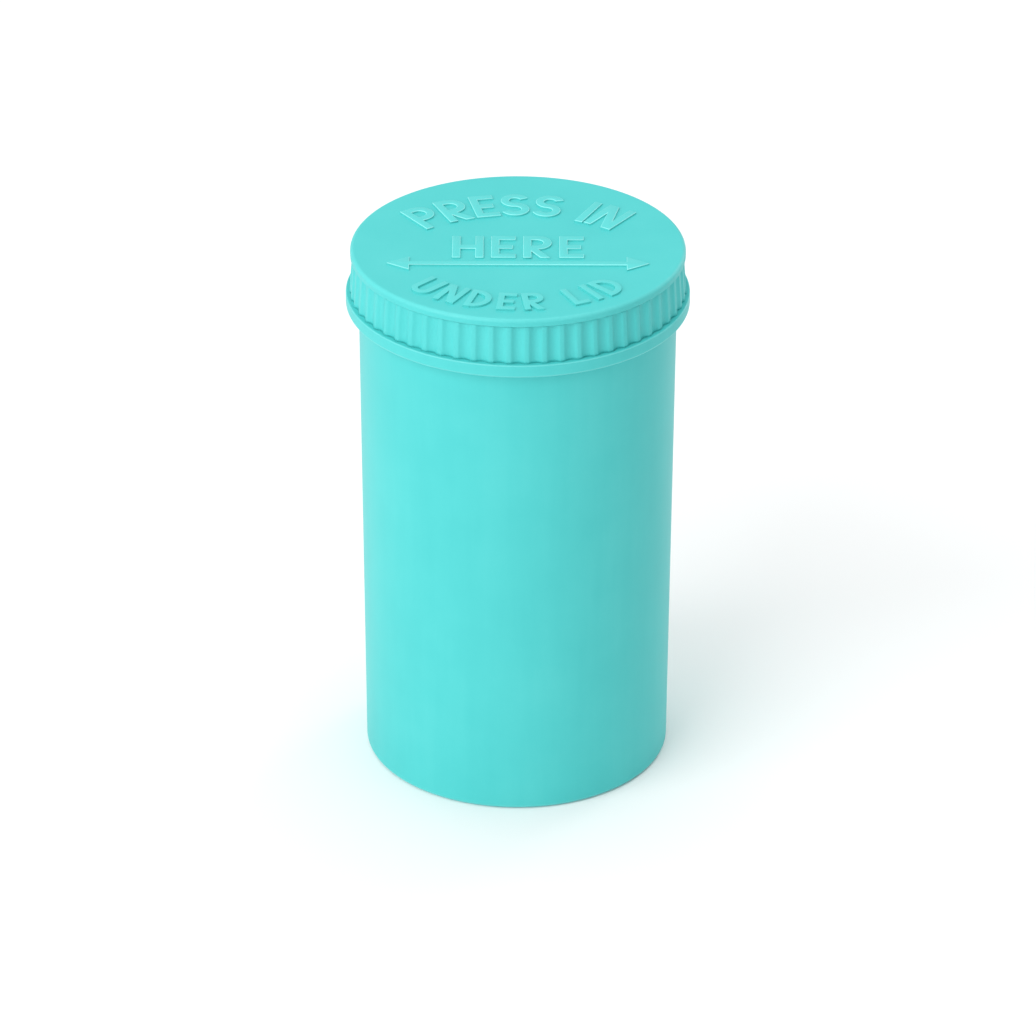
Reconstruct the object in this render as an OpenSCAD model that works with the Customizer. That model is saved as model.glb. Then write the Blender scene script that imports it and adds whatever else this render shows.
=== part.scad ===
// Squeeze-top prescription vial, shown closed. One moulding of coloured polypropylene:
// a straight tube with a collar, a fluted snap lid, and the living hinge that joins them.
// The origin is the centre of the base on the surface the vial stands on, +Z is up, the hinge
// is at the back (+Y), and the side walls are pressed in along X, as the arrow on the lid says.

/* [Tube] */
// Height of the closed vial, without the raised lettering
vial_h = 70; // [56:1:96]
// Outer diameter of the tube under the collar
tube_d = 39.7; // [39.2:0.1:40]
// Outer diameter of the tube at its foot
foot_d = 38.9; // [38.4:0.1:39.2]
// Diameter of the bore at the mouth
mouth_d = 36.8; // [36.7:0.1:37]
// Diameter of the bore at the floor
bore_foot_d = 36.2; // [35.8:0.1:36.4]
// Thickness of the floor
floor_t = 1.3; // [1.1:0.1:2]
// Radius of the tube's bottom edge
foot_round = 0.6; // [0.3:0.1:1]
// Radius between the bore and the floor
bore_round = 0.8; // [0.4:0.1:2]
// Diameter of the hollow under the floor
hollow_d = 33; // [26:0.5:35]
// Depth of the hollow under the floor
hollow_t = 0.5; // [0.3:0.1:0.6]

/* [Collar and neck] */
// Outer diameter of the collar
collar_d = 42.9; // [42.4:0.1:44]
// Height of the collar
collar_h = 1.7; // [1.2:0.1:3]
// Outer diameter of the neck that stands inside the skirt
neck_d = 38.3; // [38.2:0.1:38.4]
// Height of the neck above the collar
neck_h = 3.2; // [2.6:0.1:3.4]
// Chamfer inside the neck's rim
lead_in = 0.3; // [0.3:0.05:0.4]

/* [Lid] */
// Diameter of the lid's lip
lid_d = 41.7; // [41.4:0.1:42]
// Height of the whole lid above the collar
lid_h = 5.9; // [5.6:0.1:6.4]
// Height of the smooth lip
lip_h = 1; // [0.8:0.1:1.3]
// Thickness of the top plate
plate_t = 1.2; // [1:0.1:1.4]
// Radius of the lid's top edge
lid_round = 0.5; // [0.2:0.1:0.7]
// Diameter of the skirt across the ridges of its flutes, just under the lip
ridge_d = 41.3; // [41:0.1:41.4]
// Diameter across the ridges at the skirt's lower edge, which its draft makes wider
skirt_foot_d = 42; // [41.6:0.1:42.2]
// Number of flutes round the skirt
flute_count = 60; // [40:2:72]
// Depth of the flutes
flute_t = 0.3; // [0.15:0.05:0.4]
// Inner diameter of the skirt
skirt_bore_d = 38.9; // [38.8:0.1:39.1]
// Gap between the skirt and the collar
parting_gap = 0.06; // [0.05:0.01:0.18]
// Outer diameter of the plug where it seals in the mouth
plug_d = 36.5; // [36.1:0.1:36.5]
// Outer diameter of the plug at its tip
plug_tip_d = 34.8; // [34:0.1:35]
// Inner diameter of the plug
plug_bore_d = 32.6; // [31:0.1:33]
// Height of the plug below the top plate
plug_h = 4.3; // [4:0.1:4.5]

/* [Living hinge] */
// Width of the hinge
hinge_w = 12; // [6:0.5:16]
// Distance of the fold line behind the vial's axis
hinge_y = 24; // [23.4:0.1:25]
// Thickness of each hinge leaf
leaf_t = 0.8; // [0.6:0.1:1]
// Thickness of the film at the fold
film_t = 0.3; // [0.2:0.05:0.4]

/* [Squeeze walls] */
// Width of the part of the wall that gives under a finger
squeeze_w = 16; // [10:1:20]
// Height of the part of the wall that gives under a finger
squeeze_h = 19; // [10:1:24]
// Distance from the collar down to the part that gives
squeeze_drop = 1.5; // [1:0.5:6]
// Clearance round the part that gives
squeeze_gap = 0.15; // [0.1:0.05:0.3]

/* [Legend] */
// Height of the raised lettering and arrow
relief = 0.25; // [0.2:0.05:0.6]
// Height of the letters of the upper and middle words
big_letter = 6.1; // [5:0.1:6.2]
// Height of the letters of the lower words
small_letter = 4.5; // [3.5:0.1:4.6]
// Width of a stroke, as a share of the letter's height
stroke_share = 0.17; // [0.12:0.01:0.2]
// Length of the double-ended arrow
arrow_l = 32.4; // [24:0.1:33]

/* [Hidden] */
$fn = 96;
fine = 0.01;                                   // overlap that joins two shapes of one solid

parting_z = vial_h - lid_h;                    // top of the collar, and the height of the hinge
collar_z = parting_z - collar_h;               // underside of the collar
tube_r = tube_d / 2;
foot_r = foot_d / 2;
mouth_r = mouth_d / 2;
bore_foot_r = bore_foot_d / 2;
collar_r = collar_d / 2;
neck_r = neck_d / 2;
neck_z = parting_z + neck_h;                   // rim of the neck
floor_z = hollow_t + floor_t;                  // upper face of the floor

lid_r = lid_d / 2;
plate_z = vial_h - plate_t;                    // underside of the top plate
lip_z = vial_h - lip_h;                        // underside of the lip
skirt_z = parting_z + parting_gap;             // lower edge of the skirt
skirt_r = skirt_bore_d / 2;
ridge_r = ridge_d / 2;
skirt_foot_r = skirt_foot_d / 2;
draft = atan((skirt_foot_r - ridge_r) / (lip_z - skirt_z));
flute_w = 0.84 * 360 / flute_count;            // how wide each flute is, in degrees
plug_z = plate_z - plug_h;                     // tip of the plug

leaf_inset = 0.35;                             // how far each leaf stops short of the fold line
leaf_end = hinge_y - leaf_inset;
leaf_gap = 0.2;                                // half the gap between the closed leaves

squeeze_top = collar_z - squeeze_drop;
squeeze_bottom = squeeze_top - squeeze_h;
grip_z = squeeze_bottom - squeeze_gap;         // where the stiff wall ends

// Legend: three lines of words and the arrow, all read with the hinge at the top
upper_words = "PRESS IN";
middle_word = "HERE";
lower_words = "UNDER LID";
upper_base_r = 17.3;                           // radius of the upper line's baseline
upper_centre_y = -8.9;                         // centre that the upper line bends round
middle_base_y = -3.85;                         // baseline of the middle word
arrow_y = -5.45;                                // the arrow's centre line
lower_base_r = 18.4;                           // radius of the lower line's baseline
upper_gap = 0.1;                               // gaps between letters, as shares of their height
middle_gap = 0.15;
lower_gap = 0.18;
word_gap = 0.3;                                // width of a space, in the same measure
arrow_head_l = 2.8;
arrow_head_w = 3.6;
arrow_line_w = 0.95;

// ---- Tube ----

// Bore radius at height z
function bore_r(z) = bore_foot_r + (mouth_r - bore_foot_r) * (z - floor_z) / (neck_z - floor_z);

// Half section of the tube from its foot to the collar, with the floor still in it
module tube_section() {
    difference() {
        union() {
            polygon([
                [0, 0], [foot_r - foot_round, 0], [foot_r - foot_round, foot_round],
                [foot_r, foot_round], [tube_r, collar_z], [0, collar_z]
            ]);
            translate([foot_r - foot_round, foot_round]) circle(foot_round);
        }
        translate([-2 * foot_r, -1]) square([2 * foot_r, collar_z + 2]);
    }
}

// Half section of the room inside the tube, with a round bottom edge
module bore_section() {
    difference() {
        union() {
            polygon([
                [0, floor_z], [bore_foot_r - bore_round, floor_z],
                [bore_foot_r - bore_round, floor_z + bore_round],
                [bore_foot_r, floor_z + bore_round], [bore_r(neck_z + 1), neck_z + 1],
                [0, neck_z + 1]
            ]);
            translate([bore_foot_r - bore_round, floor_z + bore_round]) circle(bore_round);
        }
        translate([-2 * foot_r, 0]) square([2 * foot_r, vial_h]);
    }
}

// One squeeze wall's slab of space: side is 1 on the right and -1 on the left
module squeeze_space(side, gap) {
    translate([side > 0 ? 0 : -2 * tube_r, -squeeze_w / 2 - gap, squeeze_bottom - gap])
        cube([2 * tube_r, squeeze_w + 2 * gap, squeeze_h + 2 * gap]);
}

// Half section of the side wall between two heights
module wall_section(z0, z1) {
    intersection() {
        difference() {
            tube_section();
            bore_section();
        }
        translate([0, z0]) square([2 * tube_r, z1 - z0]);
    }
}

// The stiff wall, from the floor up to where the fingers press
module tube_wall() {
    color("mediumturquoise") rotate_extrude() wall_section(floor_z, grip_z);
}

// The wall under the collar, which holds the two squeeze walls between its front and its back
module grip_wall() {
    color("turquoise") difference() {
        rotate_extrude() wall_section(grip_z, collar_z);
        squeeze_space(1, squeeze_gap);
        squeeze_space(-1, squeeze_gap);
    }
}

// The floor, hollow underneath so that the vial stands on its rim, with the gate mark in the middle
module tube_floor() {
    gate_pit_r = 2.4;
    gate_pit_t = 0.3;
    gate_r = 0.7;
    color("turquoise") {
        rotate_extrude() difference() {
            intersection() {
                tube_section();
                square([foot_r + 1, floor_z]);
            }
            translate([0, -1]) square([hollow_d / 2, 1 + hollow_t]);
            translate([0, -1]) square([gate_pit_r, 1 + hollow_t + gate_pit_t]);
        }
        translate([0, 0, hollow_t - fine]) cylinder(r = gate_r, h = gate_pit_t + 2 * fine);
    }
}

// ---- Collar and neck ----

module collar_ring() {
    edge = 0.25;
    color("mediumturquoise") rotate_extrude() difference() {
        polygon([
            [0, collar_z], [collar_r - edge, collar_z], [collar_r, collar_z + edge],
            [collar_r, parting_z - edge], [collar_r - edge, parting_z], [0, parting_z]
        ]);
        bore_section();
    }
}

// The neck's rim is chamfered on the inside, where the lid's plug is led in
module neck() {
    edge = 0.15;
    color("turquoise") rotate_extrude() difference() {
        polygon([
            [0, parting_z], [neck_r, parting_z], [neck_r, neck_z - edge],
            [neck_r - edge, neck_z], [mouth_r + lead_in, neck_z],
            [mouth_r, neck_z - lead_in], [0, neck_z - lead_in]
        ]);
        bore_section();
    }
}

// ---- Lid ----

module lid_plate() {
    color("turquoise") rotate_extrude() {
        difference() {
            union() {
                polygon([
                    [0, plate_z], [skirt_r, plate_z], [skirt_r, lip_z], [lid_r, lip_z],
                    [lid_r, vial_h - lid_round], [lid_r - lid_round, vial_h - lid_round],
                    [lid_r - lid_round, vial_h], [0, vial_h]
                ]);
                translate([lid_r - lid_round, vial_h - lid_round]) circle(lid_round);
            }
            translate([-2 * lid_r, 0]) square([2 * lid_r, 2 * vial_h]);
        }
    }
}

// One flute's cutter: a cylinder through both edges of the flute and through its bottom, which
// leans in with the skirt's draft
module flute() {
    middle_r = (ridge_r + skirt_foot_r) / 2;
    half = middle_r * sin(flute_w / 2);
    deep = flute_t - middle_r * (1 - cos(flute_w / 2));
    flute_r = (half * half + deep * deep) / (2 * deep);
    translate([middle_r - flute_t + flute_r, 0, (skirt_z + lip_z) / 2])
        rotate([0, -draft, 0])
            cylinder(r = flute_r, h = 2 * (lip_z - skirt_z), center = true);
}

// The skirt: a ring with a row of hollow flutes round it, but none behind the hinge
module lid_skirt() {
    color("mediumturquoise") difference() {
        rotate_extrude() polygon([
            [skirt_r, skirt_z], [skirt_foot_r, skirt_z], [ridge_r, lip_z], [skirt_r, lip_z]
        ]);
        for (i = [0 : flute_count - 1]) {
            turn = 270 + i * 360 / flute_count;
            if (sin(turn) < 0 || abs(ridge_r * cos(turn)) > hinge_w / 2 + 1)
                rotate(turn) flute();
        }
    }
}

// The plug that fills the mouth. It seals just under the neck's chamfer and tapers to its tip,
// so that it swings out past the neck.
module lid_plug() {
    seal_z = neck_z - lead_in - 0.15;
    tip_round = 0.4;
    color("turquoise") rotate_extrude() polygon([
        [plug_bore_d / 2, plate_z], [plug_d / 2, plate_z], [plug_d / 2, seal_z],
        [plug_tip_d / 2, plug_z + tip_round], [plug_tip_d / 2 - tip_round, plug_z],
        [plug_bore_d / 2, plug_z]
    ]);
}

// ---- Living hinge ----

// A flat leaf from the round edge that is its child, back to the fold, between z0 and z1
module hinge_leaf(z0, z1) {
    difference() {
        translate([-hinge_w / 2, 0, z0]) cube([hinge_w, leaf_end, z1 - z0]);
        children();
    }
}

module collar_hinge_leaf() {
    color("mediumturquoise")
        hinge_leaf(parting_z - leaf_gap - leaf_t, parting_z - leaf_gap)
            cylinder(r = collar_r, h = vial_h);
}

// The lid's leaf grows out of the skirt, where the flutes leave room for it
module lid_hinge_leaf() {
    color("mediumturquoise")
        hinge_leaf(parting_z + leaf_gap, parting_z + leaf_gap + leaf_t)
            translate([0, 0, skirt_z])
                cylinder(r1 = skirt_foot_r, r2 = ridge_r, h = lip_z - skirt_z);
}

// The thin film that folds: a half ring round the back of the fold line
module hinge_film() {
    film_r = leaf_gap + film_t;
    color("paleturquoise")
        translate([-hinge_w / 2, leaf_end, parting_z]) rotate([90, 0, 90])
            linear_extrude(hinge_w) difference() {
                circle(film_r);
                circle(leaf_gap);
                translate([-2 * film_r, -2 * film_r]) square([2 * film_r, 4 * film_r]);
            }
}

// ---- Squeeze walls ----

module squeeze_wall(side) {
    intersection() {
        rotate_extrude() difference() {
            tube_section();
            bore_section();
        }
        squeeze_space(side, 0);
    }
}

module squeeze_wall_left() {
    color("turquoise") squeeze_wall(-1);
}

module squeeze_wall_right() {
    color("turquoise") squeeze_wall(1);
}

// ---- Legend ----
// Each letter is drawn h high, from x = 0, in strokes s wide with square ends.

// Straight stroke between two points
module bar(a, b, s) {
    run = b - a;
    translate(a) rotate(atan2(run.y, run.x)) translate([0, -s / 2]) square([norm(run), s]);
}

// Round stroke on a circle of radius r about c, from angle a0 to a1
module bow(c, r, a0, a1, s) {
    far = 3 * r;
    steps = 8;
    translate(c) intersection() {
        difference() {
            circle(r + s / 2, $fn = 48);
            circle(r - s / 2, $fn = 48);
        }
        polygon(concat([[0, 0]], [
            for (i = [0 : steps]) let (a = a0 + (a1 - a0) * i / steps) far * [cos(a), sin(a)]
        ]));
    }
}

// Widths of the letters, as shares of their height
function letter_w(c) =
    c == "I" ? stroke_share :
    c == " " ? word_gap :
    c == "L" ? 0.46 :
    c == "E" ? 0.5 :
    c == "D" || c == "H" || c == "N" || c == "U" ? 0.64 : (1 + stroke_share) / 2;

module letter(c, h) {
    s = h * stroke_share;
    w = h * letter_w(c);
    half = s / 2;
    bowl_r = (h - s) / 4 + s / 12;             // mean radius of the bowl of P and R
    bend_r = (h - s) / 4;                      // mean radius of the two bends of S
    if (c != "S" && c != "U") bar([half, 0], [half, h], s);
    if (c == "P" || c == "R") {
        for (y = [h - half, h - half - 2 * bowl_r]) bar([half, y], [w - half - bowl_r, y], s);
        bow([w - half - bowl_r - fine, h - half - bowl_r], bowl_r, -90, 90, s);
    }
    if (c == "R") intersection() {
        bar([w / 2 - s, h / 2 + s / 4], [w - half, -half], s);
        square([w + s, h / 2]);
    }
    if (c == "E" || c == "L") bar([half, half], [w, half], s);
    if (c == "E") {
        bar([half, h / 2], [w * 0.88, h / 2], s);
        bar([half, h - half], [w, h - half], s);
    }
    if (c == "S") {
        bow([w / 2, h - half - bend_r], bend_r, 25, 270, s);
        bow([w / 2, half + bend_r], bend_r, -155, 90, s);
    }
    if (c == "H" || c == "N") bar([w - half, 0], [w - half, h], s);
    if (c == "H") bar([half, h / 2], [w - half, h / 2], s);
    if (c == "N") intersection() {
        bar([half, h + half], [w - half, -half], s * 1.1);
        square([w, h]);
    }
    if (c == "U") {
        for (x = [half, w - half]) bar([x, w / 2], [x, h], s);
        bow([w / 2, w / 2 + fine], w / 2 - half, -180, 0, s);
    }
    if (c == "D") {
        for (y = [half, h - half]) bar([half, y], [w - h / 2, y], s);
        bow([w - h / 2 - fine, h / 2], h / 2 - half, -90, 90, s);
    }
}

// Length of the first n letters of a line of words h high, with a gap after each letter
function run_of(words, h, gap, n) =
    n == 0 ? 0 : run_of(words, h, gap, n - 1) + h * (letter_w(words[n - 1]) + gap);

// Straight line of words, centred on x = 0 with its baseline at y = 0
module straight_words(words, h, gap) {
    whole = run_of(words, h, gap, len(words)) - h * gap;
    for (i = [0 : len(words) - 1])
        translate([run_of(words, h, gap, i) - whole / 2, 0]) letter(words[i], h);
}

// Line of words round the origin with its baseline at radius r.
// Side 1 bends it over the top, and side -1 bends it under the bottom.
module bent_words(words, h, gap, r, side) {
    middle_r = r + side * h / 2;               // the spacing is measured at half height
    whole = run_of(words, h, gap, len(words)) - h * gap;
    for (i = [0 : len(words) - 1]) if (words[i] != " ") {
        w = h * letter_w(words[i]);
        turn = (run_of(words, h, gap, i) + w / 2 - whole / 2) / middle_r * 180 / PI;
        rotate(-side * turn) translate([-w / 2, side * r]) letter(words[i], h);
    }
}

// Raises a flat shape out of the lid's top face
module raised() {
    color("paleturquoise") translate([0, 0, vial_h]) linear_extrude(relief) children();
}

module legend_upper_words() {
    raised() translate([0, upper_centre_y])
        bent_words(upper_words, big_letter, upper_gap, upper_base_r, 1);
}

module legend_middle_word() {
    raised() translate([0, middle_base_y]) straight_words(middle_word, big_letter, middle_gap);
}

module legend_lower_words() {
    raised() bent_words(lower_words, small_letter, lower_gap, lower_base_r, -1);
}

// The double-ended arrow: the corners of its right half, and the same ones turned round
module legend_arrow() {
    tip = arrow_l / 2;
    barb = tip - arrow_head_l;
    right = [
        [barb, -arrow_line_w / 2], [barb, -arrow_head_w / 2], [tip, 0],
        [barb, arrow_head_w / 2], [barb, arrow_line_w / 2]
    ];
    raised() translate([0, arrow_y]) polygon(concat(right, -right));
}

tube_wall();
grip_wall();
tube_floor();
collar_ring();
neck();
collar_hinge_leaf();
hinge_film();
squeeze_wall_left();
squeeze_wall_right();
lid_plate();
lid_skirt();
lid_plug();
lid_hinge_leaf();
legend_upper_words();
legend_middle_word();
legend_lower_words();
legend_arrow();
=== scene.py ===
"""Looks of the squeeze-top prescription vial, built round its CAD frame. All sizes are in metres."""
import math

import bmesh
import bpy
import numpy as np
from mathutils import Matrix, Vector


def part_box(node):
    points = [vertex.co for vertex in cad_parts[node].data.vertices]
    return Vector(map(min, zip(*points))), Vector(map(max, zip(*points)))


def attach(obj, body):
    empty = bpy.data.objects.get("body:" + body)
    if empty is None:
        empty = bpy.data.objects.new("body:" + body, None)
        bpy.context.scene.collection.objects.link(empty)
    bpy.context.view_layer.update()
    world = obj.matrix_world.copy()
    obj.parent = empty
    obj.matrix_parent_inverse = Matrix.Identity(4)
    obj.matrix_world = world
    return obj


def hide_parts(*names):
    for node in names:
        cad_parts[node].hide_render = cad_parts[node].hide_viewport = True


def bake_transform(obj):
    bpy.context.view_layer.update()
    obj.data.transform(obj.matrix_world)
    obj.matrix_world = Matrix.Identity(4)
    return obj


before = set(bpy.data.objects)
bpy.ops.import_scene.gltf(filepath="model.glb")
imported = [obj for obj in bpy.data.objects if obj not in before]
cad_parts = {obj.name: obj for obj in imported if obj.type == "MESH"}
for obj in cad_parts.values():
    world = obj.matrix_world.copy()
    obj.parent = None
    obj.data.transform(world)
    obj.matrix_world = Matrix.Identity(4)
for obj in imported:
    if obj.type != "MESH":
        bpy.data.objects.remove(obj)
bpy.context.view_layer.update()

MM = 0.001


# ---- Sizes, from the frame ----

def low(node):
    return Vector(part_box(node)[0])


def high(node):
    return Vector(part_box(node)[1])


COLLAR_Z, PARTING_Z = low("collar_ring").z, high("collar_ring").z
COLLAR_R = high("collar_ring").x
TUBE_R, FOOT_R = high("grip_wall").x, high("tube_floor").x
GRIP_Z = low("grip_wall").z                     # where the stiff wall ends and the grip begins
FLOOR_Z = high("tube_floor").z
NECK_R, NECK_Z = high("neck").x, high("neck").z
LID_R, LID_Z = high("lid_plate").x, high("lid_plate").z
PLATE_Z = low("lid_plate").z                    # underside of the lid's top plate
LIP_Z = high("lid_skirt").z                     # underside of the lip
SKIRT_FOOT_R = -low("lid_skirt").x              # across the ridges, at the skirt's lower edge
PLUG_R, PLUG_Z = high("lid_plug").x, low("lid_plug").z
HINGE_HALF_W = high("collar_hinge_leaf").x
LEAF_END_Y = high("collar_hinge_leaf").y
SQUEEZE_MID_Z = (low("squeeze_wall_right").z + high("squeeze_wall_right").z) / 2

# Sizes that no node's box gives
NECK_WALL = 0.75 * MM
MOUTH_R = NECK_R - NECK_WALL
BORE_FOOT_R = MOUTH_R - 0.3 * MM                # the bore narrows by the mould's draft
BORE_ROUND = 0.8 * MM
FOOT_ROUND = 0.6 * MM
HOLLOW_R = 16.5 * MM                            # hollow under the floor
HOLLOW_T = 0.5 * MM
LEAD_IN = 0.3 * MM                              # chamfer inside the neck's rim
SKIRT_BORE_R = NECK_R + 0.3 * MM
LID_ROUND = 0.5 * MM
RIDGE_R = SKIRT_FOOT_R - 0.35 * MM              # the same under the lip, by the skirt's draft
SKIRT_GAP = 0.01 * MM                           # so that skirt and collar share no face
FLUTE_COUNT = 60
FLUTE_T = 0.3 * MM                              # depth of the flutes
FLUTE_SHARE = 0.74                              # how much of each pitch a flute takes
RIDGE_HIGHLIGHT = 0.15                           # painted highlight along the ridges between the flutes
LETTER_EDGE = 0.08 * MM                         # bevel round the tops of the raised letters
LEAF_ROOT = 1.1 * MM                            # how deep each leaf is rooted in its wall
PLUG_TIP_R = PLUG_R - 0.85 * MM
PLUG_BORE_R = PLUG_R - 1.95 * MM


def tube_r(z):
    """Outer radius of the tube at height z."""
    return FOOT_R + (TUBE_R - FOOT_R) * (z - FLOOR_Z) / (COLLAR_Z - FLOOR_Z)


def bore_r(z):
    """Radius of the bore at height z."""
    return BORE_FOOT_R + (MOUTH_R - BORE_FOOT_R) * (z - FLOOR_Z) / (NECK_Z - FLOOR_Z)


# ---- Node trees written as expressions ----

class Socket:
    """An output socket, on which Python's operators add Math nodes."""

    def __init__(self, tree, out):
        self.tree, self.out = tree, out

    def math(self, operation, *values):
        fed = {i: v for i, v in enumerate((self, *values))}
        return self.tree.node("ShaderNodeMath", {"operation": operation}, fed)

    def __add__(self, other):
        return self.math("ADD", other)

    def __mul__(self, other):
        return self.math("MULTIPLY", other)

    def __sub__(self, other):
        return self.math("SUBTRACT", other)

    def __truediv__(self, other):
        return self.math("DIVIDE", other)

    def __pow__(self, other):
        return self.math("POWER", other)

    def __rsub__(self, other):
        return (self * -1) + other

    __radd__, __rmul__ = __add__, __mul__


class Tree:
    """A node tree with one method that adds any node."""

    def __init__(self, tree):
        self.tree = tree

    def node(self, kind, settings=None, sockets=None, out=0):
        made = self.tree.nodes.new(kind)
        for name, value in (settings or {}).items():
            if name == "stops":
                ramp = made.color_ramp
                while len(ramp.elements) < len(value):
                    ramp.elements.new(0.5)
                for stop, (place, colour) in zip(ramp.elements, value):
                    stop.position, stop.color = place, colour
            else:
                setattr(made, name, value)
        for name, value in (sockets or {}).items():
            self.feed(made, name, value)
        outs = [s for s in made.outputs if s.enabled]
        return Socket(self, made.outputs[out] if isinstance(out, str) else outs[out])

    def feed(self, made, name, value):
        if isinstance(name, int):
            socket = made.inputs[name]
        else:
            socket = next(s for s in made.inputs if s.name == name and s.enabled)
        for one in value if isinstance(value, list) else [value]:
            if isinstance(one, Socket):
                self.tree.links.new(one.out, socket)
            else:
                socket.default_value = one


# ---- Outlines ----

class Outline:
    """The half section of a turned piece, counter-clockwise from (radius, height, rounding) corners.

    points are its points, and normals holds each edge's outward normal at its two ends, so that
    a round corner shades smoothly and a straight stretch stays flat. flutes says how deep the
    flutes are at each point, as a share, and edges is 1 in the middle of each round corner that stands
    out. A closed outline runs round a hollow; an open one begins and ends on the axis.
    """

    def __init__(self, corners, closed=True, steps=6, longest=None, flutes=None):
        flat = [Vector((r, z)) for r, z, _ in corners]
        count = len(corners)
        bends = []
        for i, (_, _, rounding) in enumerate(corners):
            ends_here = not closed and i in (0, count - 1)
            if rounding and not ends_here:
                bends.append(self.arc(flat[i - 1], flat[i], flat[(i + 1) % count], rounding, steps))
            else:
                bends.append(([flat[i]], []))
        self.points, self.normals, self.edges = [], [], []
        for i, (arc, facing) in enumerate(bends):
            self.points += arc
            self.normals += facing
            stands_out = facing and (arc[-1] - arc[0]).dot(facing[-1][1] - facing[0][0]) > 0
            self.edges += [math.sin(math.pi * k / max(1, len(facing))) if stands_out else 0.0
                           for k in range(len(arc))]
            if i == count - 1 and not closed:
                break
            start, end = arc[-1], bends[(i + 1) % count][0][0]
            run = end - start
            parts = max(1, math.ceil(run.length / longest)) if longest else 1
            out = Vector((run.y, -run.x)).normalized()
            self.points += [start + run * k / parts for k in range(1, parts)]
            self.normals += [(out, out)] * parts
            self.edges += [0.0] * (parts - 1)
        self.flutes = [flutes(p.x) if flutes else 0.0 for p in self.points]

    @staticmethod
    def arc(before, corner, after, rounding, steps):
        to_before, to_after = (before - corner).normalized(), (after - corner).normalized()
        half = to_before.angle(to_after) / 2
        centre = corner + (to_before + to_after).normalized() * (rounding / math.sin(half))
        first = corner + to_before * (rounding / math.tan(half)) - centre
        last = corner + to_after * (rounding / math.tan(half)) - centre
        turn = math.atan2(first.x * last.y - first.y * last.x, first.dot(last))
        sign = 1 if turn > 0 else -1
        spokes = [Matrix.Rotation(turn * k / steps, 2) @ first for k in range(steps + 1)]
        facing = [(a.normalized() * sign, b.normalized() * sign) for a, b in zip(spokes, spokes[1:])]
        return [centre + s for s in spokes], facing


# ---- Turned pieces, by Geometry Nodes ----

TURNED_INPUTS = {
    "Outline": "NodeSocketGeometry",
    "Outline Points": "NodeSocketInt",
    "Rows": "NodeSocketInt",
    "Columns": "NodeSocketInt",
    "First Angle": "NodeSocketFloat",
    "Sweep": "NodeSocketFloat",
    "Capped": "NodeSocketBool",
    "Flute Count": "NodeSocketFloat",
    "Flute Depth": "NodeSocketFloat",
    "Flute Share": "NodeSocketFloat",
    "Plain Half Width": "NodeSocketFloat",
    "Material": "NodeSocketMaterial",
}


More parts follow.
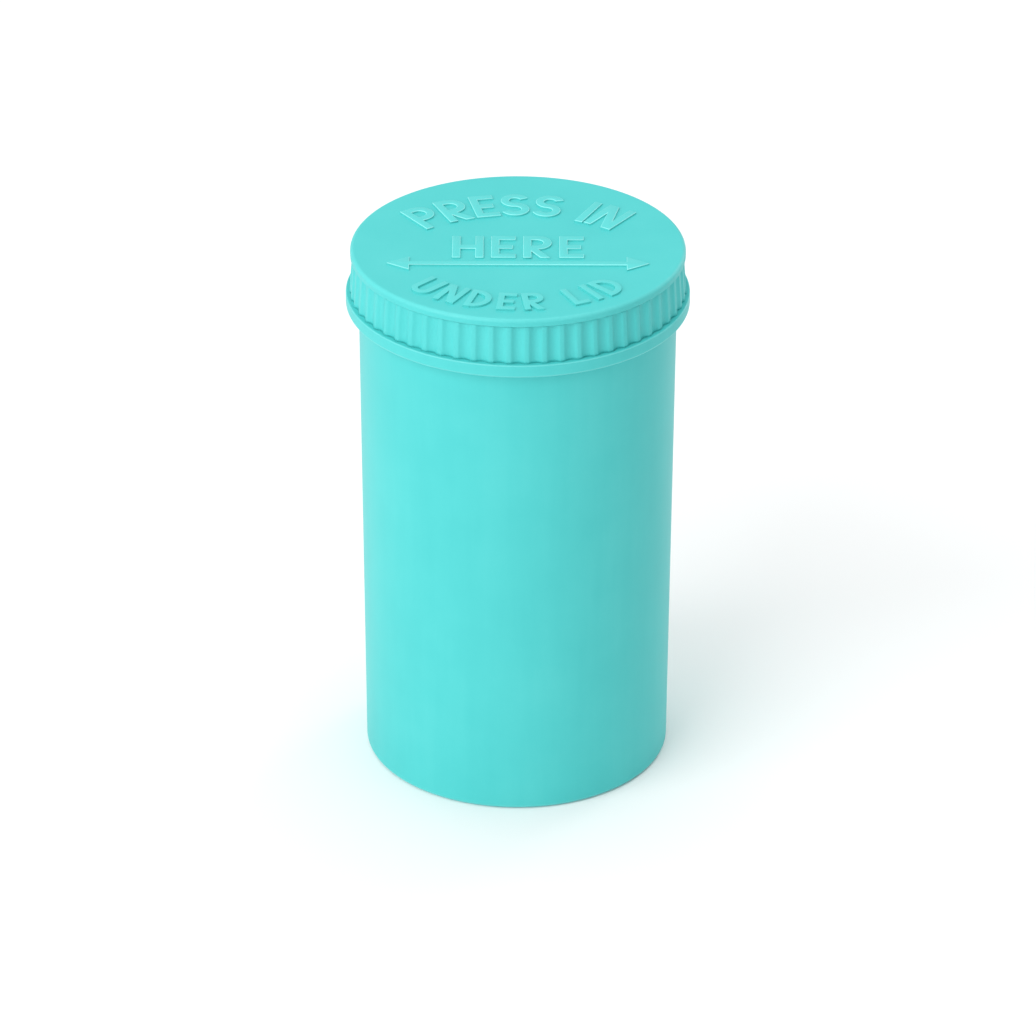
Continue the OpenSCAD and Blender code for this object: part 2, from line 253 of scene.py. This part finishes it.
def turned_tree():
    """Turns an outline round the Z axis. Flutes sink into it where its flutes attribute says."""
    group = bpy.data.node_groups.new("turned piece", "GeometryNodeTree")
    for name, kind in TURNED_INPUTS.items():
        group.interface.new_socket(name=name, in_out="INPUT", socket_type=kind)
    group.interface.new_socket(name="Geometry", in_out="OUTPUT", socket_type="NodeSocketGeometry")
    t = Tree(group)
    source = group.nodes.new("NodeGroupInput")
    given = {name: Socket(t, source.outputs[name]) for name in TURNED_INPUTS}

    grid = t.node("GeometryNodeMeshGrid", None, {
        "Vertices X": given["Columns"] + 1, "Vertices Y": given["Rows"] + 1})
    index = t.node("GeometryNodeInputIndex")
    column = (index / (given["Rows"] + 1)).math("FLOOR")
    row = index - column * (given["Rows"] + 1)
    place = row.math("MODULO", given["Outline Points"])

    def sampled(kind, value):
        return t.node("GeometryNodeSampleIndex", {"data_type": kind, "domain": "POINT"}, {
            "Geometry": given["Outline"], "Value": value, "Index": place})

    at = sampled("FLOAT_VECTOR", t.node("GeometryNodeInputPosition"))

    def marked(name):
        return sampled("FLOAT", t.node(
            "GeometryNodeInputNamedAttribute", {"data_type": "FLOAT"}, {"Name": name}))

    flute_weight, edge = marked("flutes"), marked("edge")
    radius = t.node("ShaderNodeSeparateXYZ", None, {0: at}, "X")
    height = t.node("ShaderNodeSeparateXYZ", None, {0: at}, "Z")
    angle = given["First Angle"] + given["Sweep"] * column / given["Columns"]

    # One flute in each pitch, hollow like part of a circle, with a narrow round ridge between
    pitches = (angle / math.tau + 0.25) * given["Flute Count"] + 0.5
    flute = pitches.math("FLOOR")
    across = (pitches - flute - 0.5).math("ABSOLUTE") * 2 / given["Flute Share"]
    hollow = (1 - across ** 2).math("SMOOTH_MAX", 0, 0.35)
    flute_angle = flute / given["Flute Count"] * math.tau - math.pi / 2
    sideways = (flute_angle.math("COSINE") * radius).math("ABSOLUTE")
    plain = sideways.math("LESS_THAN", given["Plain Half Width"])
    behind = flute_angle.math("SINE").math("GREATER_THAN", 0)
    sunk = flute_weight * (1 - plain * behind)
    reach = radius - given["Flute Depth"] * sunk * hollow
    # The ridges between the flutes join the edge mask, for a painted highlight along them
    edges_told = t.node("GeometryNodeStoreNamedAttribute", {
        "data_type": "FLOAT", "domain": "POINT"}, {
            "Geometry": grid, "Name": "edge",
            "Value": edge + sunk * across.math("MINIMUM", 1) ** 12 * RIDGE_HIGHLIGHT})
    turned = t.node("GeometryNodeSetPosition", None, {
        "Geometry": edges_told,
        "Position": t.node("ShaderNodeCombineXYZ", None, {
            "X": reach * angle.math("COSINE"), "Y": reach * angle.math("SINE"), "Z": height})})
    face_row = (index - (index / given["Rows"]).math("FLOOR") * given["Rows"]) + 1
    rows_told = t.node("GeometryNodeStoreNamedAttribute", {"data_type": "INT", "domain": "FACE"}, {
        "Geometry": turned, "Name": "row", "Value": face_row})

    # A piece that isn't turned all the way round is closed by its outline at both ends
    def cap(turn):
        spin = t.node("ShaderNodeCombineXYZ", None, {"Z": turn})
        return t.node("GeometryNodeTransform", None, {"Geometry": given["Outline"], "Rotation": spin})

    last_cap = t.node("GeometryNodeFlipFaces", None, {
        "Mesh": cap(given["First Angle"] + given["Sweep"])})
    caps = t.node("GeometryNodeJoinGeometry", None, {0: [cap(given["First Angle"]), last_cap]})
    wanted = t.node("GeometryNodeSwitch", {"input_type": "GEOMETRY"}, {
        "Switch": given["Capped"], "True": caps})
    whole = t.node("GeometryNodeJoinGeometry", None, {0: [rows_told, wanted]})
    merged = t.node("GeometryNodeMergeByDistance", None, {"Geometry": whole, "Distance": 0.001 * MM})
    smooth = t.node("GeometryNodeSetShadeSmooth", None, {"Geometry": merged})
    real = t.node("GeometryNodeRealizeInstances", None, {"Geometry": smooth})
    done = t.node("GeometryNodeSetMaterial", None, {"Geometry": real, "Material": given["Material"]})
    sink = group.nodes.new("NodeGroupOutput")
    group.links.new(done.out, sink.inputs["Geometry"])
    return group


TURNED = turned_tree()


def evaluated_piece(name, mesh, tree, inputs):
    """The plain mesh that a node tree makes of a mesh, in a new object called name."""
    maker = bpy.data.objects.new(name + "_maker", mesh)
    bpy.context.scene.collection.objects.link(maker)
    modifier = maker.modifiers.new("maker", "NODES")
    modifier.node_group = tree
    sockets = {s.name: s.identifier for s in tree.interface.items_tree if s.in_out == "INPUT"}
    for socket, value in inputs.items():
        modifier[sockets[socket]] = value
    graph = bpy.context.evaluated_depsgraph_get()
    plain = bpy.data.meshes.new_from_object(maker.evaluated_get(graph), depsgraph=graph)
    bpy.data.objects.remove(maker)
    bpy.data.meshes.remove(mesh)
    plain.name = name
    piece = bpy.data.objects.new(name, plain)
    bpy.context.scene.collection.objects.link(piece)
    return piece


def turned(name, outline, material, columns=256, first=0.0, sweep=math.tau, flute_depth=0.0):
    """A piece of revolution. With flute_depth, flutes run round it, but not behind the hinge."""
    mesh = bpy.data.meshes.new(name + "_outline")
    capped = sweep < math.tau - 1e-6
    count = len(outline.points)
    mesh.from_pydata(
        [(p.x, 0, p.y) for p in outline.points], [(i, i + 1) for i in range(count - 1)],
        [range(count)] if capped else [])
    mesh.attributes.new("flutes", "FLOAT", "POINT").data.foreach_set("value", outline.flutes)
    mesh.attributes.new("edge", "FLOAT", "POINT").data.foreach_set("value", outline.edges)
    piece = evaluated_piece(name, mesh, TURNED, {
        "Outline Points": count, "Rows": len(outline.normals), "Columns": columns,
        "First Angle": first, "Sweep": sweep, "Capped": capped,
        "Flute Count": float(FLUTE_COUNT), "Flute Depth": flute_depth,
        "Flute Share": FLUTE_SHARE, "Plain Half Width": HINGE_HALF_W + 1 * MM,
        "Material": material})
    face_outwards(piece.data)
    if not flute_depth:
        shade_by_outline(piece.data, outline)
    piece.data.attributes.remove(piece.data.attributes["row"])
    return piece


def face_outwards(mesh):
    """Turns a closed mesh inside out if its faces point inwards."""
    corners = np.empty(len(mesh.vertices) * 3)
    mesh.vertices.foreach_get("co", corners)
    corners = corners.reshape(-1, 3)
    mesh.calc_loop_triangles()
    tris = np.empty(len(mesh.loop_triangles) * 3, int)
    mesh.loop_triangles.foreach_get("vertices", tris)
    a, b, c = (corners[tris.reshape(-1, 3)[:, k]] for k in range(3))
    if np.einsum("ij,ij->", a, np.cross(b, c)) < 0:
        mesh.flip_normals()


def shade_by_outline(mesh, outline):
    """Gives each face corner the outline's own normal, so that flat stretches shade flat."""
    rows = [d.value - 1 for d in mesh.attributes["row"].data]
    points, normals, count = outline.points, outline.normals, len(outline.points)
    facing = []
    for face in mesh.polygons:
        row = rows[face.index]
        for vertex in face.vertices:
            spot = mesh.vertices[vertex].co
            if row < 0:
                facing.append(face.normal)
                continue
            on_plane = Vector((math.hypot(spot.x, spot.y), spot.z))
            near_end = ((on_plane - points[row]).length_squared
                        > (on_plane - points[(row + 1) % count]).length_squared)
            n = normals[row][1 if near_end else 0]
            turn = math.atan2(spot.y, spot.x)
            facing.append(Vector((n.x * math.cos(turn), n.x * math.sin(turn), n.y)))
    mesh.normals_split_custom_set(facing)


# ---- Materials ----

TEAL = (0.080, 0.584, 0.575, 1.0)
TEAL_LIT = (0.107, 0.630, 0.618, 1.0)
TEAL_DEEP = (0.064, 0.539, 0.536, 1.0)
TEAL_EDGE_HIGHLIGHT = (0.260, 0.800, 0.785, 1.0)        # painted highlight on the rounded edges, standing in for the light they catch


def moulded_plastic(name, light=0.0, grain=1.0, draw_lines=0.0, highlight_strength=0.35):
    """Satin polypropylene. light pales it, grain is its fine texture, draw_lines are the faint
    upright marks that a long core leaves on a tube, and the last argument sets how strongly its
    rounded edges carry a painted highlight, which also makes them a little glossier."""
    material = bpy.data.materials.new(name)
    material.use_nodes = True
    material.node_tree.nodes.clear()
    t = Tree(material.node_tree)
    here = t.node("ShaderNodeTexCoord", None, None, "Object")

    def noise(scale, detail, stretch=(1, 1, 1)):
        spot = t.node("ShaderNodeMapping", None, {"Vector": here, "Scale": stretch})
        return t.node("ShaderNodeTexNoise", None, {
            "Vector": spot, "Scale": scale, "Detail": detail, "Roughness": 0.55}, "Fac")

    clouds = noise(90, 3)                        # pigment that has not mixed quite evenly
    streaks = noise(420, 4, (1, 1, 0.08))        # upright flow and draw marks
    peel = noise(900, 2)                         # the soft unevenness of a moulded skin
    texture = noise(3500, 3)                     # fine grain of the mould's surface
    highlight_variation = noise(700, 4)                         # how strongly each stretch of edge takes the painted highlight, at random
    edge = t.node("ShaderNodeAttribute", {"attribute_name": "edge"}, None, "Fac")
    # Painted highlight: the rounded edges are painted paler, patchily, and made a little glossier
    edge_highlight_and_gloss = (edge * (highlight_variation * 0.8 + 0.6) * highlight_strength).math("MINIMUM", 1)
    tone = ((clouds - 0.5) * 0.55 + (streaks - 0.5) * 0.3 * draw_lines
            + (texture - 0.5) * 0.25 * grain + 0.5 + light)
    colour = t.node("ShaderNodeValToRGB", {"stops": [
        (0.15, TEAL_DEEP), (0.5, TEAL), (0.9, TEAL_LIT)]}, {"Fac": tone})
    highlighted_colour = t.node("ShaderNodeMix", {"data_type": "RGBA"}, {
        "Factor": edge_highlight_and_gloss, "A": colour, "B": TEAL_EDGE_HIGHLIGHT})
    rough = (texture - 0.5) * 0.10 * grain + (clouds - 0.5) * 0.08 - edge_highlight_and_gloss * 0.1 + 0.42
    height = peel * 0.25 + texture * 0.6 * grain + streaks * 0.2 * draw_lines
    bump = t.node("ShaderNodeBump", None, {
        "Height": height, "Strength": 0.35, "Distance": 0.02 * MM}, "Normal")
    shader = t.node("ShaderNodeBsdfPrincipled", None, {
        "Base Color": highlighted_colour, "Roughness": rough, "Normal": bump,
        "Specular IOR Level": 0.2})
    out = material.node_tree.nodes.new("ShaderNodeOutputMaterial")
    material.node_tree.links.new(shader.out, out.inputs["Surface"])
    return material


TUBE_PLASTIC = moulded_plastic("tube_plastic", draw_lines=1.0, grain=0.5)
LID_PLASTIC = moulded_plastic("lid_plastic", light=0.03, highlight_strength=0.15)
# The letters share the lid's plastic; they are painted paler, a painted highlight on their tops, and
# their bevels take the full painted edge highlight
LEGEND_PLASTIC = moulded_plastic("legend_plastic", light=0.6, grain=0.7, highlight_strength=1.0)
HINGE_PLASTIC = moulded_plastic("hinge_plastic", light=0.1, grain=0.8, highlight_strength=0.8)


# ---- Tube, collar and neck ----

def tube_floor():
    """The floor, with its hollow underside, standing ring and gate mark."""
    pit_r, pit_z, gate_r = 2.4 * MM, HOLLOW_T + 0.3 * MM, 0.7 * MM
    piece = turned("tube_floor_moulded", Outline([
        (0, HOLLOW_T, 0), (gate_r, HOLLOW_T, 0.12 * MM), (gate_r, pit_z, 0.08 * MM),
        (pit_r, pit_z, 0.1 * MM), (pit_r, HOLLOW_T, 0.12 * MM), (HOLLOW_R, HOLLOW_T, 0.2 * MM),
        (HOLLOW_R + 0.25 * MM, 0, 0.2 * MM), (tube_r(0), 0, FOOT_ROUND), (FOOT_R, FLOOR_Z, 0),
        (0, FLOOR_Z, 0)], closed=False), TUBE_PLASTIC)
    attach(piece, "vial")
    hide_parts("tube_floor")


def lower_wall():
    """The stiff part of the side wall, below where the fingers press."""
    piece = turned("tube_wall_lower", Outline([
        (BORE_FOOT_R - BORE_ROUND, FLOOR_Z, 0), (FOOT_R, FLOOR_Z, 0),
        (tube_r(GRIP_Z), GRIP_Z, 0), (bore_r(GRIP_Z), GRIP_Z, 0),
        (BORE_FOOT_R, FLOOR_Z, BORE_ROUND)], steps=10), TUBE_PLASTIC)
    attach(piece, "vial")
    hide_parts("tube_wall")


def grip_walls():
    """The part of the side wall that gives, in quarters: a left and a right half, each cut at the
    middle of the squeeze wall's height.
    """
    for side, hand in ((1, "right"), (-1, "left")):
        for part, far_z in (("upper", COLLAR_Z), ("lower", GRIP_Z)):
            z0, z1 = sorted((SQUEEZE_MID_Z, far_z))
            piece = turned(f"grip_wall_{hand}_{part}", Outline([
                (bore_r(z0), z0, 0), (tube_r(z0), z0, 0), (tube_r(z1), z1, 0), (bore_r(z1), z1, 0)
            ], longest=0.8 * MM), TUBE_PLASTIC, columns=128, first=-side * math.pi / 2,
                sweep=math.pi)
            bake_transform(piece)
            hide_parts("grip_wall", "squeeze_wall_" + hand)


def collar():
    piece = turned("collar_moulded", Outline([
        (bore_r(COLLAR_Z), COLLAR_Z, 0), (COLLAR_R, COLLAR_Z, 0.35 * MM),
        (COLLAR_R, PARTING_Z, 0.18 * MM), (bore_r(PARTING_Z), PARTING_Z, 0)]), TUBE_PLASTIC)
    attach(piece, "vial")
    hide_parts("collar_ring")


def neck():
    piece = turned("neck_moulded", Outline([
        (bore_r(PARTING_Z), PARTING_Z, 0), (NECK_R, PARTING_Z, 0), (NECK_R, NECK_Z, 0.15 * MM),
        (MOUTH_R + LEAD_IN, NECK_Z, 0.08 * MM), (MOUTH_R, NECK_Z - LEAD_IN, 0.2 * MM)]),
        TUBE_PLASTIC)
    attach(piece, "vial")
    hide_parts("neck")


# ---- Lid ----

def lid_plate():
    """The top plate with its smooth round lip."""
    boss_r = SKIRT_BORE_R
    piece = turned("lid_plate_moulded", Outline([
        (0, PLATE_Z, 0), (boss_r, PLATE_Z, 0), (boss_r, LIP_Z, 0), (LID_R, LIP_Z, 0.12 * MM),
        (LID_R, LID_Z, LID_ROUND), (0, LID_Z, 0)], closed=False, steps=10), LID_PLASTIC)
    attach(piece, "lid")
    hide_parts("lid_plate")


def lid_skirt():
    """The fluted skirt. Its lower edge all but rests on the collar."""
    foot_z = PARTING_Z + SKIRT_GAP

    def flutes(r):
        return 1.0 if r > RIDGE_R - 0.2 * MM else 0.0

    piece = turned("lid_skirt_moulded", Outline([
        (SKIRT_BORE_R, foot_z, 0.08 * MM), (SKIRT_FOOT_R, foot_z, 0), (RIDGE_R, LIP_Z, 0),
        (SKIRT_BORE_R, LIP_Z, 0)], steps=3, longest=0.3 * MM, flutes=flutes), LID_PLASTIC,
        columns=FLUTE_COUNT * 20, flute_depth=FLUTE_T)
    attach(piece, "lid")
    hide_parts("lid_skirt")


def lid_plug():
    """The ring that seals in the mouth."""
    seal_z = NECK_Z - LEAD_IN - 0.15 * MM
    piece = turned("lid_plug_moulded", Outline([
        (PLUG_BORE_R, PLUG_Z, 0.2 * MM), (PLUG_TIP_R - 0.2 * MM, PLUG_Z, 0.35 * MM),
        (PLUG_R, seal_z, 0.5 * MM), (PLUG_R, PLATE_Z, 0), (PLUG_BORE_R, PLATE_Z, 0)]), LID_PLASTIC)
    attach(piece, "lid")
    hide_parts("lid_plug")


def legend():
    """The raised words and arrow, with the soft edges that moulded lettering has."""
    for node in ("legend_upper_words", "legend_middle_word", "legend_lower_words", "legend_arrow"):
        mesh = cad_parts[node].data.copy()
        work = bmesh.new()
        work.from_mesh(mesh)
        bmesh.ops.remove_doubles(work, verts=work.verts, dist=0.001 * MM)
        bmesh.ops.dissolve_limit(
            work, angle_limit=math.radians(1), verts=work.verts, edges=work.edges)
        edge = work.faces.layers.float.new("edge")
        top = high(node).z
        rim = [e for e in work.edges if all(v.co.z > top - 0.01 * MM for v in e.verts)
               and e.is_manifold and e.calc_face_angle(0) > math.radians(40)]
        rounded = bmesh.ops.bevel(work, geom=rim, offset=LETTER_EDGE, segments=3, profile=0.5,
                                  affect="EDGES", clamp_overlap=True)
        # The bevel faces are marked for the painted edge highlight
        for face in rounded["faces"]:
            face[edge] = 1.0
        work.to_mesh(mesh)
        work.free()
        mesh.materials.clear()
        mesh.materials.append(LEGEND_PLASTIC)
        piece = bpy.data.objects.new(node + "_moulded", mesh)
        bpy.context.scene.collection.objects.link(piece)
        mesh.shade_smooth()
        mesh.set_sharp_from_angle(angle=math.radians(35))
        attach(piece, "lid")
        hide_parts(node)


# ---- Living hinge ----

def hinge_strap():
    """Both leaves and the film between them, in one strap."""
    leaf_low, leaf_high = low("collar_hinge_leaf"), high("collar_hinge_leaf")
    lid_low, lid_high = low("lid_hinge_leaf"), high("lid_hinge_leaf")
    film_r = high("hinge_film").z - PARTING_Z
    slot_r = PARTING_Z - leaf_high.z
    collar_y, skirt_y = COLLAR_R - LEAF_ROOT, RIDGE_R - LEAF_ROOT
    steps = 16

    def fold(r, a0, a1):
        return [(LEAF_END_Y + r * math.cos(a), PARTING_Z + r * math.sin(a))
                for a in (a0 + (a1 - a0) * k / steps for k in range(steps + 1))]

    right = math.pi / 2
    section = (
        [(collar_y, leaf_low.z), (LEAF_END_Y - 0.1 * MM, leaf_low.z),
         (LEAF_END_Y, leaf_low.z + 0.1 * MM)]
        + fold(film_r, -right, right)
        + [(LEAF_END_Y, lid_high.z - 0.1 * MM), (LEAF_END_Y - 0.1 * MM, lid_high.z),
           (skirt_y, lid_high.z), (skirt_y, lid_low.z)]
        + fold(slot_r, right, -right)
        + [(collar_y, leaf_high.z)])
    work = bmesh.new()
    near = [work.verts.new((-HINGE_HALF_W, y, z)) for y, z in section]
    face = work.faces.new(near)
    grown = bmesh.ops.extrude_face_region(work, geom=[face])
    far = [v for v in grown["geom"] if isinstance(v, bmesh.types.BMVert)]
    bmesh.ops.translate(work, verts=far, vec=(2 * HINGE_HALF_W, 0, 0))
    bmesh.ops.recalc_face_normals(work, faces=work.faces)
    mesh = bpy.data.meshes.new("living_hinge_strap")
    work.to_mesh(mesh)
    work.free()
    mesh.materials.append(HINGE_PLASTIC)
    mesh.shade_smooth()
    mesh.set_sharp_from_angle(angle=math.radians(35))
    piece = bpy.data.objects.new("living_hinge_strap", mesh)
    bpy.context.scene.collection.objects.link(piece)
    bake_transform(piece)
    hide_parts("collar_hinge_leaf", "hinge_film", "lid_hinge_leaf")


tube_floor()
lower_wall()
grip_walls()
collar()
neck()
lid_plate()
lid_skirt()
lid_plug()
legend()
hinge_strap()


# ---- Floor, lights and camera ----

def studio_floor():
    size = 4.0
    mesh = bpy.data.meshes.new("floor")
    mesh.from_pydata([(-size, -size, 0), (size, -size, 0), (size, size, 0), (-size, size, 0)],
                     [], [(0, 1, 2, 3)])
    floor = bpy.data.objects.new("floor", mesh)
    bpy.context.scene.collection.objects.link(floor)
    material = bpy.data.materials.new("studio_paper")
    material.use_nodes = True
    paper = material.node_tree.nodes["Principled BSDF"]
    paper.inputs["Base Color"].default_value = (0.95, 0.95, 0.95, 1)
    paper.inputs["Roughness"].default_value = 0.9
    paper.inputs["Specular IOR Level"].default_value = 0.0
    mesh.materials.append(material)


def soft_box(name, place, aim, size, power):
    light = bpy.data.lights.new(name, "AREA")
    light.shape = "RECTANGLE"
    light.size, light.size_y = size
    light.energy = power
    lamp = bpy.data.objects.new(name, light)
    lamp.location = place
    lamp.rotation_euler = (Vector(aim) - Vector(place)).to_track_quat("-Z", "Y").to_euler()
    bpy.context.scene.collection.objects.link(lamp)


def lights():
    middle = (0, 0, 0.5 * LID_Z)
    soft_box("key", (-0.71, -0.71, 0.62), middle, (1.0, 1.0), 9.4)
    soft_box("top", (0.0, 0.15, 1.1), middle, (0.9, 0.9), 5.1)
    soft_box("rim", (0.58, 0.69, 0.35), middle, (0.25, 0.6), 1.3)
    world = bpy.data.worlds.new("studio")
    bpy.context.scene.world = world
    world.use_nodes = True
    world.node_tree.nodes["Background"].inputs["Color"].default_value = (1, 1, 1, 1)
    world.node_tree.nodes["Background"].inputs["Strength"].default_value = 0.53


def camera():
    """A long lens, 28.5 degrees above the horizon, straight in front of the closed lid."""
    data = bpy.data.cameras.new("camera")
    data.lens, data.sensor_width = 186.28, 36.0
    data.dof.use_dof = False
    distance, rise, aim_z, side = 0.6835, math.radians(28.464), 31.54 * MM, 0.10 * MM
    roll = math.radians(0.175)
    place = Vector((side, -distance * math.cos(rise), aim_z + distance * math.sin(rise)))
    aim = Vector((side, 0, aim_z))
    seen = bpy.data.objects.new("camera", data)
    turn = (aim - place).to_track_quat("-Z", "Y").to_matrix().to_4x4()
    seen.matrix_world = Matrix.Translation(place) @ turn @ Matrix.Rotation(roll, 4, "Z")
    bpy.context.scene.collection.objects.link(seen)
    bpy.context.scene.camera = seen


studio_floor()
lights()
camera()
bpy.context.scene.view_settings.view_transform = "Standard"
